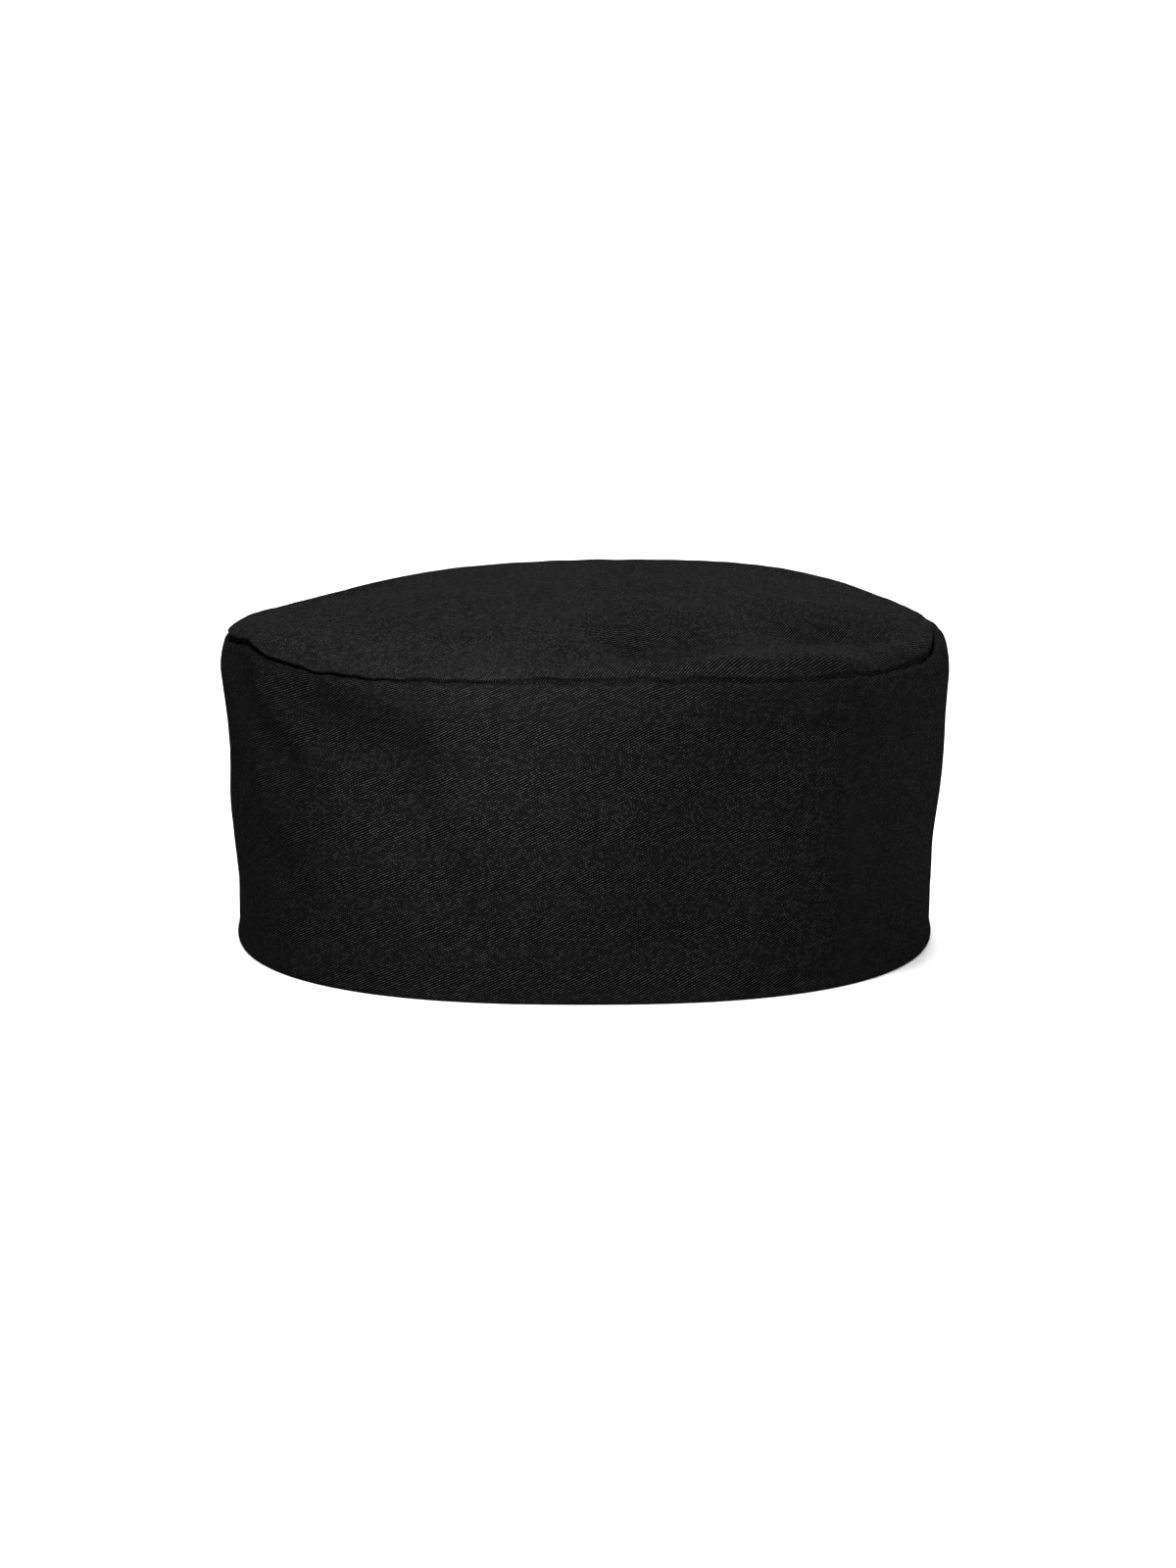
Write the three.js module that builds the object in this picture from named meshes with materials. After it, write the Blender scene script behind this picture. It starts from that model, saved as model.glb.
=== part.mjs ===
// A chef's skull cap: a round, brimless cap of black twill that stands on its hem.
// Lengths are millimetres. +Z is up, -Y is the front, and the origin is the middle of the hem's lower edge.
// The cap is two sewn pieces of one cloth. The band is the side wall. Its lower edge is turned up inside as
// a hem, and its upper edge rolls over a soft shoulder. The crown is the slack, puffed panel on top.
// Both pieces are turned down at the crown seam, and their allowances hang inside the cap face to face.
import * as THREE from "three";

// Plan of the wall's outer face, at the hem and at its widest, just under the shoulder.
const hemHalfWidth = 91.4;
const hemHalfDepth = 96;
const shoulderHalfWidth = 96.2;
const shoulderHalfDepth = 100.2;
// The plan is a superellipse, whose exponent of 2 is an ellipse and a higher one squarer. Like a head's
// plan, it is broader across the forehead than at the back.
const frontExponent = 2.45;
const backExponent = 2.05;

const clothThickness = 1.2;
// Height of the shoulder's crest, where the crown seam shows.
const seamHeight = 80.5;
// Height that the hem is turned up inside.
const hemDepth = 15;
// The hem's folded edge stands out from the wall by this lip, over this height.
const hemLip = 0.5;
const hemLipHeight = 4;
// Half-round of the hem's folded edge.
const hemEdgeRadius = 0.7;

// The shoulder curves inwards over this height, and the seam lies this far in from the wall's widest.
const shoulderHeight = 7.5;
const seamInset = 4.8;
// Inside radius of the sharp bend where each piece is turned down at the seam.
const seamBend = 0.35;
const allowanceLength = 8;
// Gap between the two allowances.
const seamClearance = 0.3;

// The crown stands up steeply beside the seam, over this width and height, and then rises to its middle.
const puffWidth = 5;
const puffHeight = 4.6;
const crownRise = 6.4;

// What the tables of waves, folds and dents count in.
const seamWaveHeight = 2;
const foldReach = 10;
const foldDepth = 2;
const dentDepth = 3;
// Shares of the crown's radius between which its hollows die out, because it is sewn down at the seam.
const dentFadeStartShare = 0.9;
const dentFadeEndShare = 0.985;

// Facets: round the cap, up the wall, round each quarter bend, and across the crown.
const stations = 90;
const wallSteps = 7;
const bendSteps = 4;
const crownSteps = 7;

// Where the seam line rises and falls. Angles are degrees anticlockwise from the right side, seen from
// above, so the front is -90. The lift is a share of seamWaveHeight.
const seamWaves = [
  { angle: -151, spread: 11, lift: 0.7 },
  { angle: -129, spread: 10, lift: -0.55 },
  { angle: -83, spread: 28, lift: 0.6 },
  { angle: -26, spread: 20, lift: -1.25 },
  { angle: 26, spread: 32, lift: -1 },
  { angle: 98, spread: 26, lift: -0.4 },
  { angle: 145, spread: 28, lift: -1.8 },
];

// Soft creases of the wall. Each runs from one point to another, given by angle and by height as a share of
// seamHeight. Reach and depth are shares of foldReach and foldDepth, and a negative depth is a ridge.
const wallFolds = [
  { fromAngle: -157, fromHeight: 0.92, toAngle: -142, toHeight: 0.64, reach: 0.7, depth: 0.75 },
  { fromAngle: -143, fromHeight: 0.9, toAngle: -124, toHeight: 0.8, reach: 0.7, depth: 0.8 },
  { fromAngle: -150, fromHeight: 0.84, toAngle: -132, toHeight: 0.68, reach: 0.5, depth: -0.4 },
  { fromAngle: -170, fromHeight: 0.62, toAngle: -146, toHeight: 0.28, reach: 0.8, depth: 0.7 },
  { fromAngle: -160, fromHeight: 0.66, toAngle: -138, toHeight: 0.36, reach: 0.6, depth: -0.35 },
  { fromAngle: -119, fromHeight: 0.6, toAngle: -106, toHeight: 0.28, reach: 0.9, depth: 0.4 },
  { fromAngle: -66, fromHeight: 0.82, toAngle: -78, toHeight: 0.16, reach: 1.6, depth: 0.5 },
  { fromAngle: -60, fromHeight: 0.85, toAngle: -54, toHeight: 0.8, reach: 0.8, depth: 0.5 },
  { fromAngle: -46, fromHeight: 0.6, toAngle: -42, toHeight: 0.5, reach: 1.1, depth: 0.6 },
  { fromAngle: -8, fromHeight: 0.29, toAngle: 12, toHeight: 0.24, reach: 0.9, depth: 0.25 },
  { fromAngle: 30, fromHeight: 0.75, toAngle: 48, toHeight: 0.35, reach: 1.3, depth: 0.5 },
  { fromAngle: 84, fromHeight: 0.85, toAngle: 80, toHeight: 0.4, reach: 1.1, depth: 0.4 },
  { fromAngle: 132, fromHeight: 0.8, toAngle: 118, toHeight: 0.35, reach: 1.3, depth: 0.5 },
  { fromAngle: -180, fromHeight: 0.95, toAngle: -172, toHeight: 0.62, reach: 2, depth: 0.85 },
];

// Hollows and swellings of the crown, placed by shares of its half width and half depth. The reach is a
// share of its half width, and the depth a share of dentDepth. A negative depth is a swelling.
const crownDents = [
  { right: -0.72, back: 0.62, reach: 0.34, depth: 1.5 },
  { right: -0.34, back: -0.72, reach: 0.12, depth: 0.5 },
  { right: -0.22, back: -0.3, reach: 0.18, depth: 0.25 },
  { right: 0.14, back: -0.34, reach: 0.17, depth: 0.7 },
  { right: 0.08, back: -0.72, reach: 0.12, depth: 0.35 },
  { right: 0.38, back: -0.1, reach: 0.16, depth: 0.3 },
  { right: 0.4, back: -0.66, reach: 0.16, depth: -0.25 },
  { right: 0.68, back: 0.42, reach: 0.2, depth: 0.4 },
  { right: -0.1, back: 0.55, reach: 0.3, depth: -0.25 },
];

const degrees = Math.PI / 180;
const { clamp, lerp, smoothstep } = THREE.MathUtils;

// A bell curve of height 1, for anything that fades out smoothly over a given spread.
const bell = (distance, spread) => Math.exp(-((distance / spread) ** 2));

// The difference between two angles in degrees, from -180 to 180.
const turnBetween = (a, b) => THREE.MathUtils.euclideanModulo(a - b + 180, 360) - 180;

// Radii of the round cap that is revolved first and moulded to the oval plan afterwards.
const roundHemRadius = (hemHalfWidth + hemHalfDepth) / 2;
const roundShoulderRadius = (shoulderHalfWidth + shoulderHalfDepth) / 2;
const seamRadius = roundShoulderRadius - seamInset;

// Heights at the shoulder: where it starts, and the bottom of the groove between the two pieces.
const turnRadius = seamBend + clothThickness;
const shoulderStart = seamHeight - shoulderHeight;
const grooveHeight = seamHeight - turnRadius;
const allowanceEnd = grooveHeight - allowanceLength;

// How far up the flaring part of the wall a height lies, from 0 at the hem to 1 at the shoulder.
const flareAt = (height) => clamp((height - hemDepth) / (shoulderStart - hemDepth), 0, 1);

// The plan's radius in one direction, as a share of the round cap's radius at that height.
function ovalShare(theta, height) {
  const flare = flareAt(height);
  const halfWidth = lerp(hemHalfWidth, shoulderHalfWidth, flare);
  const halfDepth = lerp(hemHalfDepth, shoulderHalfDepth, flare);
  const exponent = Math.sin(theta) < 0 ? frontExponent : backExponent;
  const across = Math.abs(Math.cos(theta) / halfWidth) ** exponent;
  const along = Math.abs(Math.sin(theta) / halfDepth) ** exponent;
  return (across + along) ** (-1 / exponent) / ((halfWidth + halfDepth) / 2);
}

// How far a point of the wall is pushed inwards by the creases. Distances are measured on the wall, and
// each crease is a straight line there with a bell curve across it.
function foldPush(theta, height) {
  const unrolled = new THREE.Vector2();
  const nearest = new THREE.Vector2();
  const arc = roundShoulderRadius * degrees;
  let push = 0;
  for (const fold of wallFolds) {
    unrolled.set(turnBetween(theta / degrees, fold.fromAngle) * arc, height - fold.fromHeight * seamHeight);
    const run = (fold.toAngle - fold.fromAngle) * arc;
    const fall = (fold.toHeight - fold.fromHeight) * seamHeight;
    const along = clamp((unrolled.x * run + unrolled.y * fall) / (run * run + fall * fall), 0, 1);
    const distance = unrolled.distanceTo(nearest.set(run * along, fall * along));
    push += fold.depth * foldDepth * bell(distance, fold.reach * foldReach);
  }
  // The hem is folded cloth and stays round, so the creases die out in it.
  return push * smoothstep(height, 0, hemDepth);
}

// How far the seam line, and what is near it, is lifted at an angle.
function seamLift(theta) {
  let lift = 0;
  for (const wave of seamWaves) {
    lift += wave.lift * seamWaveHeight * bell(turnBetween(theta / degrees, wave.angle), wave.spread);
  }
  return lift;
}

// How far the crown sinks at a place given by shares of its half width and half depth.
function crownSink(right, back) {
  let sink = 0;
  for (const dent of crownDents) {
    const distance = Math.hypot(right - dent.right, back - dent.back);
    sink += dent.depth * dentDepth * bell(distance, dent.reach);
  }
  return sink * (1 - smoothstep(Math.hypot(right, back), dentFadeStartShare, dentFadeEndShare));
}

// Moulds one point of the round cap, given by angle, radius and height, to the real cap's shape.
function mouldPoint(theta, radius, height) {
  const push = foldPush(theta, height) / roundShoulderRadius;
  const share = ovalShare(theta, height) * (1 - push);
  const right = radius * Math.cos(theta);
  const back = radius * Math.sin(theta);
  const nearSeam = smoothstep(height, 0, seamHeight) * smoothstep(radius, 0, seamRadius);
  const lift = seamLift(theta) * nearSeam;
  const sink = height > grooveHeight ? crownSink(right / seamRadius, back / seamRadius) : 0;
  return new THREE.Vector3(right * share, back * share, height + lift - sink);
}

// Revolves a profile of radius and height once round, and moulds every point of it.
function mouldedGeometry(profile) {
  const geometry = new THREE.LatheGeometry(profile, stations);
  const position = geometry.getAttribute("position");
  for (let i = 0; i < position.count; i += 1) {
    const theta = Math.atan2(-position.getZ(i), position.getX(i));
    const radius = Math.hypot(position.getX(i), position.getZ(i));
    const point = mouldPoint(theta, radius, position.getY(i));
    position.setXYZ(i, point.x, point.y, point.z);
  }
  geometry.computeVertexNormals();
  return geometry;
}

// Points of a quarter of an ellipse, from one angle to another, both included.
function quarter(centreRadius, centreHeight, halfWidth, halfHeight, fromDegrees, toDegrees) {
  const points = [];
  for (let i = 0; i <= bendSteps; i += 1) {
    const angle = lerp(fromDegrees, toDegrees, i / bendSteps) * degrees;
    const radius = centreRadius + halfWidth * Math.cos(angle);
    points.push(new THREE.Vector2(radius, centreHeight + halfHeight * Math.sin(angle)));
  }
  return points;
}

// Points up a straight stretch of wall, at a depth inside its outer face, both ends included.
function wallStretch(depth, fromHeight, toHeight) {
  const points = [];
  for (let i = 0; i <= wallSteps; i += 1) {
    const height = lerp(fromHeight, toHeight, i / wallSteps);
    const outer = lerp(roundHemRadius, roundShoulderRadius, flareAt(height));
    points.push(new THREE.Vector2(outer - depth, height));
  }
  return points;
}

// The band's section, from the hem's outer edge up the outside, over the shoulder, down and up the turned
// allowance, and down the inside to the hem.
function bandGeometry() {
  const hemInside = roundHemRadius - 2 * clothThickness;
  const shoulderWidth = seamInset - turnRadius;
  const turnCentre = seamRadius + turnRadius;
  const allowanceFace = seamRadius + clothThickness;
  const profile = [
    new THREE.Vector2(hemInside + hemEdgeRadius, 0),
    new THREE.Vector2(roundHemRadius + hemLip - hemEdgeRadius, 0),
    new THREE.Vector2(roundHemRadius + hemLip, hemEdgeRadius),
    new THREE.Vector2(roundHemRadius + hemLip / 2, hemLipHeight / 2),
    new THREE.Vector2(roundHemRadius, hemLipHeight),
    ...wallStretch(0, hemDepth, shoulderStart),
    ...quarter(turnCentre, shoulderStart, shoulderWidth, shoulderHeight, 0, 90).slice(1),
    ...quarter(turnCentre, grooveHeight, turnRadius, turnRadius, 90, 180).slice(1),
    new THREE.Vector2(seamRadius, allowanceEnd),
    new THREE.Vector2(allowanceFace, allowanceEnd),
    ...quarter(turnCentre, grooveHeight, seamBend, seamBend, 180, 90),
    ...quarter(
      turnCentre,
      shoulderStart,
      shoulderWidth - clothThickness,
      shoulderHeight - clothThickness,
      90,
      0,
    ).slice(1),
    ...wallStretch(clothThickness, shoulderStart, hemDepth + clothThickness).slice(1),
    new THREE.Vector2(hemInside, hemDepth),
    new THREE.Vector2(hemInside, hemEdgeRadius),
    new THREE.Vector2(hemInside + hemEdgeRadius, 0),
  ];
  return mouldedGeometry(profile);
}

// Height of the crown's outer face at a radius of the round cap.
function crownHeight(radius, edgeRadius) {
  const nearEdge = clamp((radius - (edgeRadius - puffWidth)) / puffWidth, 0, 1);
  const puff = puffHeight * Math.sqrt(1 - nearEdge * nearEdge);
  return grooveHeight + puff + crownRise * (1 - (radius / edgeRadius) ** 2);
}

// The crown's section, from the middle of its underside out to the seam, down and up the turned
// allowance, and back over the outer face to its middle.
function crownGeometry() {
  const edgeRadius = seamRadius - seamClearance;
  const outer = [];
  for (let i = 0; i < crownSteps; i += 1) {
    const radius = ((edgeRadius - puffWidth) * i) / crownSteps;
    outer.push(new THREE.Vector2(radius, crownHeight(radius, edgeRadius)));
  }
  for (let i = 0; i <= bendSteps; i += 1) {
    const radius = edgeRadius - puffWidth * (1 - Math.sin((90 * degrees * i) / bendSteps));
    outer.push(new THREE.Vector2(radius, crownHeight(radius, edgeRadius)));
  }
  // The underside is the outer face moved one cloth thickness along its normal.
  const under = outer.map((point, i) => {
    const ahead = outer[Math.min(i + 1, outer.length - 1)];
    const behind = outer[Math.max(i - 1, 0)];
    const slope = new THREE.Vector2().subVectors(ahead, behind).normalize();
    if (i === 0) {
      slope.set(1, 0);
    }
    if (i === outer.length - 1) {
      slope.set(0, -1);
    }
    return new THREE.Vector2(point.x + slope.y * clothThickness, point.y - slope.x * clothThickness);
  });
  const profile = [
    ...under,
    new THREE.Vector2(edgeRadius - clothThickness, allowanceEnd),
    new THREE.Vector2(edgeRadius, allowanceEnd),
    ...outer.toReversed(),
  ];
  return mouldedGeometry(profile);
}

function clothMaterial(colour) {
  return new THREE.MeshStandardMaterial({ color: colour, roughness: 0.9, metalness: 0 });
}

const cap = new THREE.Group();

const band = new THREE.Mesh(bandGeometry(), clothMaterial(0x1c1c1d));
band.name = "band";
cap.add(band);

const crown = new THREE.Mesh(crownGeometry(), clothMaterial(0x232324));
crown.name = "crown_panel";
cap.add(crown);

export default cap;
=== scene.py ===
"""Dresses the chef's skull cap: a round, brimless cap of black twill that stands on its hem.

The cap is two sewn cloths. The side band is turned up inside at the hem and rolls over a soft shoulder into
the crown seam. The crown panel is slack and puffed, and is turned down at the same seam. Each cloth is one
section spun round the cap's axis and then shaped over the same hat block, with the creases that it has taken.
"""

import logging
import math
from dataclasses import dataclass, field
from enum import Enum

import bmesh
import bpy
import numpy as np
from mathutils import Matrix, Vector


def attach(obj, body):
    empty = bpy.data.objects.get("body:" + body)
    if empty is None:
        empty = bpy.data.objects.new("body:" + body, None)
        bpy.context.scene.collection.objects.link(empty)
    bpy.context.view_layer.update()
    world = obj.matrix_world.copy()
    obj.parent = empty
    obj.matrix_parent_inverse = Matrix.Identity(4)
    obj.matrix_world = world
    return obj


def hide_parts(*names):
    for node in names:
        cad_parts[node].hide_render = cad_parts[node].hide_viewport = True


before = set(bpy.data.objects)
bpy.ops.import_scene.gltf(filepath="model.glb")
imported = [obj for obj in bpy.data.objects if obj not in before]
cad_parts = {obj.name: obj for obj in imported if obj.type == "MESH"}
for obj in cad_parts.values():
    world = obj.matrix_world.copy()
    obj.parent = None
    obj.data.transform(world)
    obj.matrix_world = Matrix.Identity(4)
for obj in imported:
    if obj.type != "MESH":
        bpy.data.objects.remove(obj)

log = logging.getLogger("chef_cap")

Array = np.ndarray
Socket = bpy.types.NodeSocket

# The cloths' lengths are millimetres here, and their meshes are made in metres.
MM = 0.001
FULL_TURN = 2 * math.pi
GOLDEN_TURN = math.pi * (3 - math.sqrt(5))

# Points that are nearer than this, in millimetres, are the same point.
SAME_PLACE = 1e-4

# What each vertex of a spun cloth keeps of its section.
KEPT = ("radius", "height", "walked")


@dataclass(frozen=True)
class Stretch:
    """A stretch of the crown seam or of the crown's edge, at an angle and over a spread in degrees.

    The share says how strongly a form shows there. A negative one turns it the other way.
    """

    angle: float
    spread: float
    share: float


@dataclass(frozen=True)
class Crease:
    """A soft crease of the side wall, from one angle and height to another.

    Heights are shares of the seam's height. Reach and depth are shares of the cap's crease reach and depth,
    and a negative depth is a ridge.
    """

    from_angle: float
    from_height: float
    to_angle: float
    to_height: float
    reach: float
    depth: float


@dataclass(frozen=True)
class Hollow:
    """A hollow of the crown, from one place to another, placed and sized by shares of its half width.

    The depth is a share of the cap's hollow depth, and a negative one is a swelling.
    """

    from_right: float
    from_back: float
    to_right: float
    to_back: float
    reach: float
    depth: float


@dataclass(frozen=True)
class CapSizes:
    """The sizes that the two cloths share, in millimetres."""

    hem_half_width: float = 91.4
    hem_half_depth: float = 96
    shoulder_half_width: float = 96.2
    shoulder_half_depth: float = 100.2
    front_exponent: float = 2.45
    back_exponent: float = 2.05
    cloth: float = 1.2
    seam_height: float = 80.5
    hem_depth: float = 15
    shoulder_height: float = 7.5
    seam_inset: float = 4.8
    seam_bend: float = 0.35
    allowance: float = 8
    seam_clearance: float = 0.03

    @property
    def round_hem_radius(self) -> float:
        """Radius of the round cap's hem, before it is shaped to the oval plan."""
        return (self.hem_half_width + self.hem_half_depth) / 2

    @property
    def round_shoulder_radius(self) -> float:
        """Radius of the round cap at its widest."""
        return (self.shoulder_half_width + self.shoulder_half_depth) / 2

    @property
    def mean_radius(self) -> float:
        """Radius of the round cap halfway between its hem and its widest."""
        return (self.round_hem_radius + self.round_shoulder_radius) / 2

    @property
    def seam_radius(self) -> float:
        """Radius of the round cap's crown seam."""
        return self.round_shoulder_radius - self.seam_inset

    @property
    def turn_radius(self) -> float:
        """Outside radius of the bend where each cloth turns down at the crown seam."""
        return self.seam_bend + self.cloth

    @property
    def shoulder_start(self) -> float:
        """Height where the wall starts to curve in."""
        return self.seam_height - self.shoulder_height

    @property
    def groove_height(self) -> float:
        """Height of the bottom of the groove between the two cloths."""
        return self.seam_height - self.turn_radius

    @property
    def allowance_end(self) -> float:
        """Height of the cut edges of the seam allowances inside the cap."""
        return self.groove_height - self.allowance


def bell(distance: Array, spread: float) -> Array:
    """A bell curve of height 1 that fades out over a spread."""
    return np.exp(-((distance / spread) ** 2))


def ease(value: Array, start: float, end: float) -> Array:
    """A share for each value that rises smoothly from 0 at the start to 1 at the end."""
    share = np.clip((value - start) / (end - start), 0, 1)
    return share * share * (3 - 2 * share)


def put_in_scene(name: str, data: bpy.types.ID) -> bpy.types.Object:
    """Puts a new object in the scene.

    Args:
        name: The object's name.
        data: Its mesh, lamp or camera.

    Returns:
        The object, at the origin.
    """
    thing = bpy.data.objects.new(name, data)
    bpy.context.scene.collection.objects.link(thing)
    return thing


def turn_between(angle: Array, from_angle: float) -> Array:
    """The difference between two angles in degrees, from -180 to 180."""
    return (angle - from_angle + 180) % 360 - 180


def distance_to_line(
    first: Array, second: Array, start: tuple[float, float], end: tuple[float, float]
) -> Array:
    """Distances from points to a straight line, whose two ends may be the same point.

    Args:
        first: The points' first coordinates.
        second: The points' second coordinates.
        start: Where the line starts.
        end: Where it ends.

    Returns:
        One distance for each point.
    """
    run = end[0] - start[0]
    rise = end[1] - start[1]
    squared = run * run + rise * rise or 1
    along = np.clip(((first - start[0]) * run + (second - start[1]) * rise) / squared, 0, 1)
    return np.hypot(first - start[0] - run * along, second - start[1] - rise * along)


@dataclass(frozen=True)
class Unevenness:
    """Smooth unevenness of the cloth: its depth and wave length in millimetres, and a seed for its pattern.

    It is made of a few waves that cross each other in all directions. The slowest and the mix set how much
    their lengths differ.
    """

    depth: float
    length: float
    seed: float
    waves: int = 12
    slowest: float = 0.7
    mix: float = 0.6

    def at(self, places: Array) -> Array:
        """Adds up the waves at each point.

        Args:
            places: Points in millimetres, one row each.

        Returns:
            One value for each point, from about minus the depth up to the depth.
        """
        number = np.arange(1, self.waves + 1)
        rise = 1 - (2 * number - 1) / self.waves
        turn = number * GOLDEN_TURN + self.seed
        level = np.sqrt(1 - rise * rise)
        ways = np.stack([level * np.cos(turn), level * np.sin(turn), rise])
        pace = FULL_TURN / self.length * (self.slowest + (self.mix * turn) % 1)
        phases = places @ ways * pace + self.seed * number * number
        return self.depth * np.sin(phases).sum(axis=1) / math.sqrt(self.waves)


@dataclass(frozen=True)
class HatBlock:
    """The form that both cloths are shaped over: the oval plan, and what the cloth does on it.

    Lengths are millimetres, and theta is an angle in radians, anticlockwise from the right. The tables hold
    shares of the lengths, and angles in degrees.
    """

    sizes: CapSizes

    # The seam's waves and the wall's creases.
    wave_height: float = 2
    crease_reach: float = 11.5
    crease_depth: float = 2.9

    # The crown's hollows, which fade out towards its edge between two shares of its half width.
    hollow_depth: float = 3
    hollow_fade: tuple[float, float] = (0.9, 0.985)

    # The crown's edge: its full puff, and the slope with a small bead that it has where it is rolled.
    puff_width: float = 5
    puff_height: float = 4.6
    soft_edge_width: float = 14
    bead_width: float = 1.6
    bead_share: float = 0.5

    # A crest along the crown's edge, and the shallower dip behind it.
    crest_height: float = 1.5
    crest_width: float = 3
    dip_share: float = 0.6
    dip_place: float = 15
    dip_width: float = 6

    # The lip that the crown hangs out over the seam, above a gap.
    overhang: float = 3.6
    lip_width: float = 6
    lip_rise: float = 0.9
    gap_height: float = 1.2
    least_gap: float = 0.2

    # Unevenness of the cloths and the seam. Puckers and jogs fade between two places, front to back.
    wall_swells: Unevenness = Unevenness(0.3, 58, 3.7)
    wall_ripples: Unevenness = Unevenness(0.09, 21, 8.1)
    wall_puckers: Unevenness = Unevenness(0.12, 19, 2.2)
    crown_swells: Unevenness = Unevenness(0.35, 66, 1.9)
    crown_ripples: Unevenness = Unevenness(0.1225, 25, 6.4)
    crown_puckers: Unevenness = Unevenness(0.2, 19, 7.9)
    pucker_place: float = 3
    pucker_reach: float = 7
    pucker_fade: tuple[float, float] = (-0.4, 0)
    seam_jogs: Unevenness = Unevenness(0.3, 13, 5.3)
    jog_fade: tuple[float, float] = (-0.2, 0.3)
    jog_loss: float = 0.8

    shifts: tuple[Stretch, ...] = (
        Stretch(177, 28, 0.5),
        Stretch(12, 24, 0.1),
    )
    rolls: tuple[Stretch, ...] = (
        Stretch(-128, 30, 1),
        Stretch(110, 45, 0.2),
        Stretch(10, 30, 0.25),
    )
    overhangs: tuple[Stretch, ...] = (
        Stretch(-160, 26, 0.75),
        Stretch(-130, 20, 0.45),
        Stretch(-107, 13, 0.3),
        Stretch(-95, 5, 0.3),
        Stretch(-82, 20, 0.28),
        Stretch(-45, 18, 0.12),
        Stretch(-10, 20, 0.45),
    )
    gaps: tuple[Stretch, ...] = (
        Stretch(-162, 24, 1),
        Stretch(-95, 4, 0.6),
        Stretch(-12, 16, 0.7),
    )
    crests: tuple[Stretch, ...] = (
        Stretch(174, 14, 0.35),
        Stretch(54, 26, 0.55),
        Stretch(-84, 9, 0.7),
        Stretch(-67, 9, 1),
        Stretch(-52, 7, 0.7),
        Stretch(-28, 14, 0.5),
    )
    waves: tuple[Stretch, ...] = (
        Stretch(-151, 11, 0.7),
        Stretch(-129, 10, -0.55),
        Stretch(-83, 28, 0.6),
        Stretch(-52, 19, -0.6),
        Stretch(-26, 20, -1.25),
        Stretch(20, 32, -1.25),
        Stretch(98, 26, -0.4),
        Stretch(153, 32, -2.4),
    )
    creases: tuple[Crease, ...] = (
        Crease(-154, 0.97, -139, 0.7, 0.6, 1),
        Crease(-133, 0.88, -118, 0.76, 0.95, 2.1),
        Crease(-130, 0.76, -116, 0.62, 1.3, 0.5),
        Crease(-143, 0.88, -132, 0.74, 0.4, -0.5),
        Crease(-158, 0.65, -141, 0.38, 0.55, 0.85),
        Crease(-147, 0.57, -139, 0.46, 0.4, -0.4),
        Crease(-119, 0.6, -106, 0.28, 0.9, 0.55),
        Crease(-66, 0.82, -76, 0.1, 1.3, 1),
        Crease(-60, 0.85, -54, 0.8, 0.8, 0.7),
        Crease(-46, 0.6, -42, 0.5, 1, 1),
        Crease(-8, 0.29, 12, 0.24, 0.9, 0.25),
        Crease(30, 0.75, 48, 0.35, 1.3, 0.5),
        Crease(84, 0.85, 80, 0.4, 1.1, 0.4),
        Crease(132, 0.8, 118, 0.35, 1.3, 0.5),
        Crease(-180, 0.95, -172, 0.68, 1.6, 0.5),
        Crease(177, 0.5, -177, 0.44, 1, -0.25),
        Crease(-4, 0.5, 4, 0.3, 1.3, -0.35),
    )
    hollows: tuple[Hollow, ...] = (
        Hollow(-0.72, 0.62, -0.72, 0.62, 0.34, 0.8),
        Hollow(-0.68, -0.36, -0.46, 0.02, 0.1, 1),
        Hollow(-0.37, -0.88, -0.31, -0.64, 0.08, 0.9),
        Hollow(-0.07, -0.92, -0.04, -0.8, 0.06, 0.8),
        Hollow(0.13, -0.86, 0.17, -0.6, 0.1, 0.8),
        Hollow(0.2, -0.62, 0.25, -0.5, 0.15, 2.6),
        Hollow(0.36, -0.8, 0.5, -0.7, 0.1, -0.5),
        Hollow(0.58, -0.34, 0.74, -0.28, 0.13, 1.9),
        Hollow(0.8, -0.36, 0.88, -0.4, 0.07, -0.6),
        Hollow(0.74, -0.56, 0.82, -0.5, 0.06, -0.3),
        Hollow(0.35, 0.62, 0.42, 0.6, 0.22, 0.25),
        Hollow(0.68, 0.42, 0.68, 0.42, 0.2, 0.2),
        Hollow(-0.1, 0.55, -0.1, 0.55, 0.3, -0.25),
    )

    def flare(self, height: Array) -> Array:
        """How far up the flaring wall a height lies, from 0 at the hem to 1 at the shoulder."""
        rise = self.sizes.shoulder_start - self.sizes.hem_depth
        return np.clip((height - self.sizes.hem_depth) / rise, 0, 1)

    def oval_share(self, theta: Array, height: Array) -> Array:
        """The plan's radius in one direction, as a share of the round cap's radius at that height.

        Args:
            theta: Angles in radians.
            height: Heights in millimetres.

        Returns:
            One share for each point.
        """
        sizes = self.sizes
        flare = self.flare(height)
        half_width = sizes.hem_half_width + flare * (sizes.shoulder_half_width - sizes.hem_half_width)
        half_depth = sizes.hem_half_depth + flare * (sizes.shoulder_half_depth - sizes.hem_half_depth)
        exponent = np.where(np.sin(theta) < 0, sizes.front_exponent, sizes.back_exponent)
        across = np.abs(np.cos(theta) / half_width) ** exponent
        along = np.abs(np.sin(theta) / half_depth) ** exponent
        return (across + along) ** (-1 / exponent) / ((half_width + half_depth) / 2)

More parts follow.
